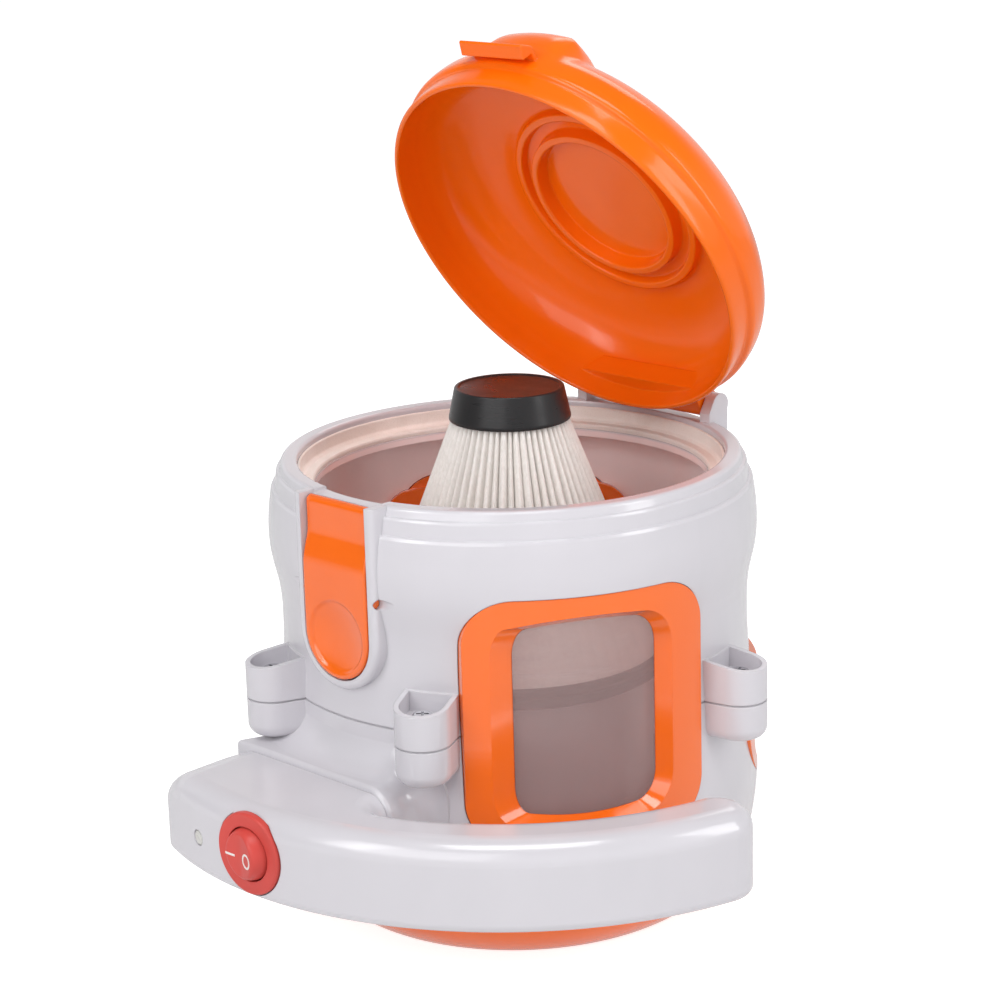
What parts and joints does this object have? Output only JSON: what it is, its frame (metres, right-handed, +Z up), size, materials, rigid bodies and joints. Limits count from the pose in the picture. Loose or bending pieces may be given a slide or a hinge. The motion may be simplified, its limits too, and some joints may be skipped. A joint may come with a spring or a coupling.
{
  "type": "handheld vacuum cleaner",
  "caption": "Drum-shaped handheld vacuum cleaner with hinged plug lid, conical pleated filter, smoky window, side latch and curved grip with round rocker switch.",
  "frame": {"origin": "centre of the flat base on the drum axis", "axes": "+Z up along the drum axis, -Y towards latch and switch, +Y towards the lid hinge"},
  "size_m": [0.1882, 0.195, 0.2524],
  "materials": {
    "white_abs": "glossy moulded, cool white",
    "orange_abs": "glossy moulded, bright orange",
    "cream_rubber": "matt, cream",
    "smoky_clear": "transparent smoky grey",
    "black_abs": "semi-gloss black",
    "black_matt": "fine texture, black",
    "grey_abs": "satin grey",
    "pleat_fabric": "off-white pleated filter cloth",
    "black_rubber": "matt black",
    "red_nylon": "satin red",
    "lens": "translucent white",
    "chrome": "bright plated",
    "steel": "bright drawn",
    "magnet": "dark sintered",
    "copper": "enamelled windings",
    "brass": "bright",
    "wire_pvc": "black insulation"
  },
  "bodies": {
    "body": {"upper_housing": "white_abs", "lower_housing": "white_abs", "handle_shell": "white_abs", "handle_cover": "white_abs", "base_cover": "orange_abs", "front_window_bezel": "orange_abs", "rear_window_bezel": "orange_abs", "inlet_collar": "orange_abs", "front_window_pane": "smoky_clear", "rear_window_pane": "smoky_clear", "rim_gasket": "cream_rubber", "filter_cap": "black_abs", "filter_base_ring": "black_matt", "filter_pleats": "pleat_fabric", "filter_seal": "black_rubber", "motor_chamber": "grey_abs", "motor_mount_plate": "grey_abs", "motor_can": "steel", "motor_end_cap": "black_matt", "motor_bushes": "brass", "motor_magnets": "magnet", "lid_hinge_pin": "steel", "switch_body": "red_nylon", "switch_terminals": "brass", "indicator_lens": "lens", "dc_socket": "black_matt", "housing_screws": "chrome", "base_screws": "steel", "chamber_screws": "steel", "handle_screws": "steel", "motor_screws": "steel", "motor_leads": "wire_pvc"},
    "lid": {"lid": "orange_abs"},
    "latch": {"latch": "orange_abs"},
    "rocker": {"switch_rocker": "red_nylon"},
    "fan_rotor": {"fan_impeller": "black_matt", "motor_shaft": "steel", "motor_armature": "copper"}
  },
  "joints": [
    {"name": "lid_hinge", "type": "hinge", "parent": "body", "child": "lid", "pos_m": [0, 0.0632, 0.1366], "axis": [-1, 0, 0], "range_deg": [-59.9, 33.7]},
    {"name": "latch_pivot", "type": "hinge", "parent": "body", "child": "latch", "pos_m": [0, -0.0687, 0.1053], "axis": [-1, 0, 0], "range_deg": [0, 2], "stiffness_Nm_per_rad": 2, "springref_deg": -0.57},
    {"name": "rocker_tilt", "type": "hinge", "parent": "body", "child": "rocker", "pos_m": [0.00435, -0.10821, 0.0437], "axis": [0, 0, 1], "range_deg": [0, 16]},
    {"name": "fan_spin", "type": "hinge", "parent": "body", "child": "fan_rotor", "pos_m": [0, 0, 0.05], "axis": [0, 0, 1], "continuous": true}
  ]
}
